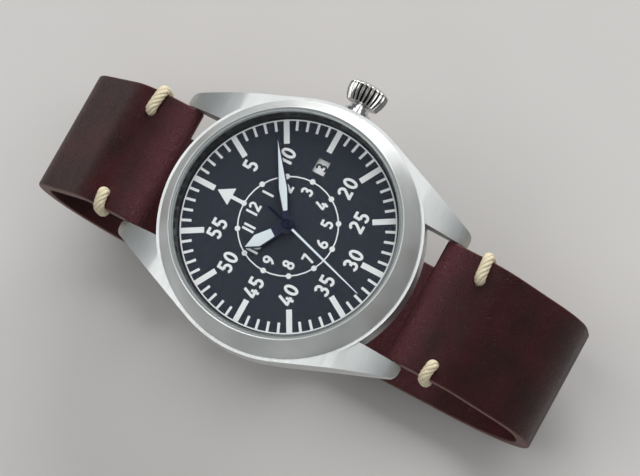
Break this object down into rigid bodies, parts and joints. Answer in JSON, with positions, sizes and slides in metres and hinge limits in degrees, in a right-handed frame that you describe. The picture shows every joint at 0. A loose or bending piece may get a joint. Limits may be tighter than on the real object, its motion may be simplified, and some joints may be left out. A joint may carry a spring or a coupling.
{
  "type": "pilot watch",
  "caption": "Round steel wristwatch with a smooth sloped bezel, numbered black dial, sword hands, fluted crown and a laced leather strap buckled into a closed loop.",
  "frame": {"origin": "centre of the case back's flat outer face", "axes": "+Z out of the dial, +Y towards 12 o'clock, +X towards the crown at 3 o'clock"},
  "size_m": [0.0449, 0.087, 0.0459],
  "materials": {
    "case_steel": "brushed and polished",
    "polished_steel": "polished",
    "movement_steel": "satin",
    "movement_brass": "gilt",
    "glass": "clear",
    "ruby": "ruby red",
    "gasket_rubber": "matte",
    "dial_black": "matte black",
    "rehaut_black": "matte black",
    "date_white": "matte white",
    "hand_blue": "dark blue",
    "hand_white": "white",
    "spring_steel": "blued",
    "plastic": "natural",
    "leather": "dark oxblood",
    "lace": "waxed cream"
  },
  "bodies": {
    "watch": {"mid_case": "case_steel", "bezel": "case_steel", "crystal": "glass", "crystal_gasket": "gasket_rubber", "rehaut_ring": "rehaut_black", "case_back": "case_steel", "case_back_gasket": "gasket_rubber", "crown_tube": "polished_steel", "movement_holder": "plastic", "casing_clamps": "movement_steel", "movement_screws": "movement_steel", "main_plate": "movement_brass", "barrel_bridge": "movement_steel", "train_bridge": "movement_steel", "balance_cock": "movement_steel", "jewels": "ruby", "hairspring": "spring_steel", "dial": "dial_black", "rotor_bearing": "movement_steel", "strap_upper": "leather", "strap_lower": "leather", "lacing": "lace", "spring_bar_tubes": "polished_steel", "keeper_fixed": "leather"},
    "crown_and_stem": {"crown": "polished_steel", "crown_gasket": "gasket_rubber", "winding_stem": "movement_steel"},
    "winding_pinion": {"winding_pinion": "movement_steel"},
    "sliding_pinion": {"sliding_pinion": "movement_steel"},
    "setting_lever": {"setting_lever": "movement_steel"},
    "yoke": {"yoke": "movement_steel"},
    "crown_wheel": {"crown_wheel": "movement_steel"},
    "ratchet": {"ratchet_wheel": "movement_steel", "barrel_arbor": "movement_steel"},
    "click": {"click": "movement_steel"},
    "barrel": {"barrel_drum": "movement_brass", "mainspring": "spring_steel"},
    "centre_wheel": {"centre_wheel": "movement_brass"},
    "third_wheel": {"third_wheel": "movement_brass"},
    "seconds": {"seconds_hand": "hand_white", "fourth_wheel": "movement_brass"},
    "escape_wheel": {"escape_wheel": "movement_steel"},
    "pallet_fork": {"pallet_fork": "movement_steel"},
    "balance": {"balance_wheel": "movement_brass"},
    "minutes": {"minute_hand": "hand_blue", "cannon_pinion": "movement_steel"},
    "minute_wheel": {"minute_wheel": "movement_brass"},
    "hours": {"hour_hand": "hand_blue", "hour_wheel": "movement_brass"},
    "date_disc": {"date_disc": "date_white"},
    "rotor": {"rotor": "movement_steel"},
    "reversing_wheel": {"reversing_wheel": "movement_brass"},
    "tip_a": {"spring_bar_tip_a": "polished_steel"},
    "tip_b": {"spring_bar_tip_b": "polished_steel"},
    "tip_c": {"spring_bar_tip_c": "polished_steel"},
    "tip_d": {"spring_bar_tip_d": "polished_steel"},
    "buckle": {"buckle_frame": "polished_steel", "buckle_bar": "polished_steel"},
    "tongue": {"buckle_tongue": "polished_steel"},
    "keeper": {"keeper_free": "leather"}
  },
  "joints": [
    {"name": "crown_turn", "type": "hinge", "parent": "watch", "child": "winding_pinion", "pos_m": [0.009, 0, 0.0037], "axis": [1, 0, 0], "continuous": true},
    {"name": "crown_pull", "type": "slide", "parent": "winding_pinion", "child": "crown_and_stem", "axis": [1, 0, 0], "range_m": [0, 0.0016]},
    {"name": "sliding_pinion_slide", "type": "slide", "parent": "winding_pinion", "child": "sliding_pinion", "axis": [-1, 0, 0], "range_m": [0, 0.000901]},
    {"name": "setting_lever_swing", "type": "hinge", "parent": "watch", "child": "setting_lever", "pos_m": [0.01128, -0.00312, 0.0039], "axis": [0, 0, -1], "range_deg": [0, 33.02]},
    {"name": "yoke_swing", "type": "hinge", "parent": "watch", "child": "yoke", "pos_m": [0.00775, 0.0035, 0.0039], "axis": [0, 0, -1], "range_deg": [0, 17.65]},
    {"name": "crown_wheel_turn", "type": "hinge", "parent": "watch", "child": "crown_wheel", "pos_m": [0.00666, 0, 0.0026], "axis": [0, 0, 1], "continuous": true},
    {"name": "ratchet_turn", "type": "hinge", "parent": "watch", "child": "ratchet", "pos_m": [0.00161, 0.00603, 0.0026], "axis": [0, 0, 1], "continuous": true},
    {"name": "click_swing", "type": "hinge", "parent": "watch", "child": "click", "pos_m": [-0.00367, 0.00837, 0.0026], "axis": [0, 0, 1], "range_deg": [0, 8]},
    {"name": "seconds_turn", "type": "hinge", "parent": "watch", "child": "seconds", "pos_m": [0, 0, 0.0039], "axis": [0, 0, 1], "continuous": true},
    {"name": "third_wheel_turn", "type": "hinge", "parent": "watch", "child": "third_wheel", "pos_m": [-0.00154, -0.00423, 0.0039], "axis": [0, 0, 1], "continuous": true},
    {"name": "centre_wheel_turn", "type": "hinge", "parent": "watch", "child": "centre_wheel", "pos_m": [0, 0, 0.0039], "axis": [0, 0, 1], "continuous": true},
    {"name": "barrel_turn", "type": "hinge", "parent": "watch", "child": "barrel", "pos_m": [0.00161, 0.00603, 0.0039], "axis": [0, 0, 1], "continuous": true},
    {"name": "escape_wheel_turn", "type": "hinge", "parent": "watch", "child": "escape_wheel", "pos_m": [-0.00448, 0.00039, 0.0039], "axis": [0, 0, 1], "continuous": true},
    {"name": "pallet_swing", "type": "hinge", "parent": "watch", "child": "pallet_fork", "pos_m": [-0.0069, -0.00025, 0.0039], "axis": [0, 0, 1], "range_deg": [-5, 5]},
    {"name": "balance_swing", "type": "hinge", "parent": "watch", "child": "balance", "pos_m": [-0.00647, -0.00453, 0.0039], "axis": [0, 0, 1], "range_deg": [-270, 270], "stiffness_Nm_per_rad": 0.00000035},
    {"name": "minute_turn", "type": "hinge", "parent": "watch", "child": "minutes", "pos_m": [0, 0, 0.007], "axis": [0, 0, 1], "continuous": true},
    {"name": "minute_wheel_turn", "type": "hinge", "parent": "watch", "child": "minute_wheel", "pos_m": [0.0015, -0.0026, 0.006], "axis": [0, 0, 1], "continuous": true},
    {"name": "hour_turn", "type": "hinge", "parent": "watch", "child": "hours", "pos_m": [0, 0, 0.007], "axis": [0, 0, 1], "continuous": true},
    {"name": "date_turn", "type": "hinge", "parent": "watch", "child": "date_disc", "pos_m": [0, 0, 0.0065], "axis": [0, 0, 1], "continuous": true},
    {"name": "rotor_turn", "type": "hinge", "parent": "watch", "child": "rotor", "pos_m": [0, 0, 0.002], "axis": [0, 0, 1], "continuous": true},
    {"name": "reversing_wheel_turn", "type": "hinge", "parent": "watch", "child": "reversing_wheel", "pos_m": [0.002, -0.00346, 0.0023], "axis": [0, 0, 1], "continuous": true},
    {"name": "spring_bar_tip_a_press", "type": "slide", "parent": "watch", "child": "tip_a", "axis": [-1, 0, 0], "range_m": [0, 0.0011], "stiffness_N_per_m": 300},
    {"name": "spring_bar_tip_b_press", "type": "slide", "parent": "watch", "child": "tip_b", "axis": [1, 0, 0], "range_m": [0, 0.0011], "stiffness_N_per_m": 300},
    {"name": "spring_bar_tip_c_press", "type": "slide", "parent": "watch", "child": "tip_c", "axis": [-1, 0, 0], "range_m": [0, 0.0011], "stiffness_N_per_m": 300},
    {"name": "spring_bar_tip_d_press", "type": "slide", "parent": "watch", "child": "tip_d", "axis": [1, 0, 0], "range_m": [0, 0.0011], "stiffness_N_per_m": 300},
    {"name": "buckle_swing", "type": "hinge", "parent": "watch", "child": "buckle", "pos_m": [0, 0.00477, -0.02945], "axis": [1, 0, 0], "range_deg": [0, 5]},
    {"name": "tongue_swing", "type": "hinge", "parent": "buckle", "child": "tongue", "pos_m": [0, 0.00477, -0.02945], "axis": [1, 0, 0], "range_deg": [0, 12]},
    {"name": "keeper_slide", "type": "slide", "parent": "watch", "child": "keeper", "axis": [0, 1, 0], "range_m": [-0.0033, 0.002]}
  ],
  "couplings": [
    {"joint": "sliding_pinion_slide", "follows": "crown_pull", "ratio": 0.5625},
    {"joint": "setting_lever_swing", "follows": "crown_pull", "rad_per_m": 360.07},
    {"joint": "yoke_swing", "follows": "crown_pull", "rad_per_m": 192.43},
    {"joint": "crown_wheel_turn", "follows": "crown_turn", "ratio": 0.38462},
    {"joint": "ratchet_turn", "follows": "crown_turn", "ratio": -0.2},
    {"joint": "third_wheel_turn", "follows": "seconds_turn", "ratio": -0.13333},
    {"joint": "centre_wheel_turn", "follows": "seconds_turn", "ratio": 0.016667},
    {"joint": "barrel_turn", "follows": "seconds_turn", "ratio": -0.002381},
    {"joint": "escape_wheel_turn", "follows": "seconds_turn", "ratio": -9},
    {"joint": "minute_turn", "follows": "seconds_turn", "ratio": 0.016667},
    {"joint": "minute_wheel_turn", "follows": "seconds_turn", "ratio": -0.0055556},
    {"joint": "hour_turn", "follows": "seconds_turn", "ratio": 0.0013889},
    {"joint": "reversing_wheel_turn", "follows": "rotor_turn", "ratio": -1}
  ]
}
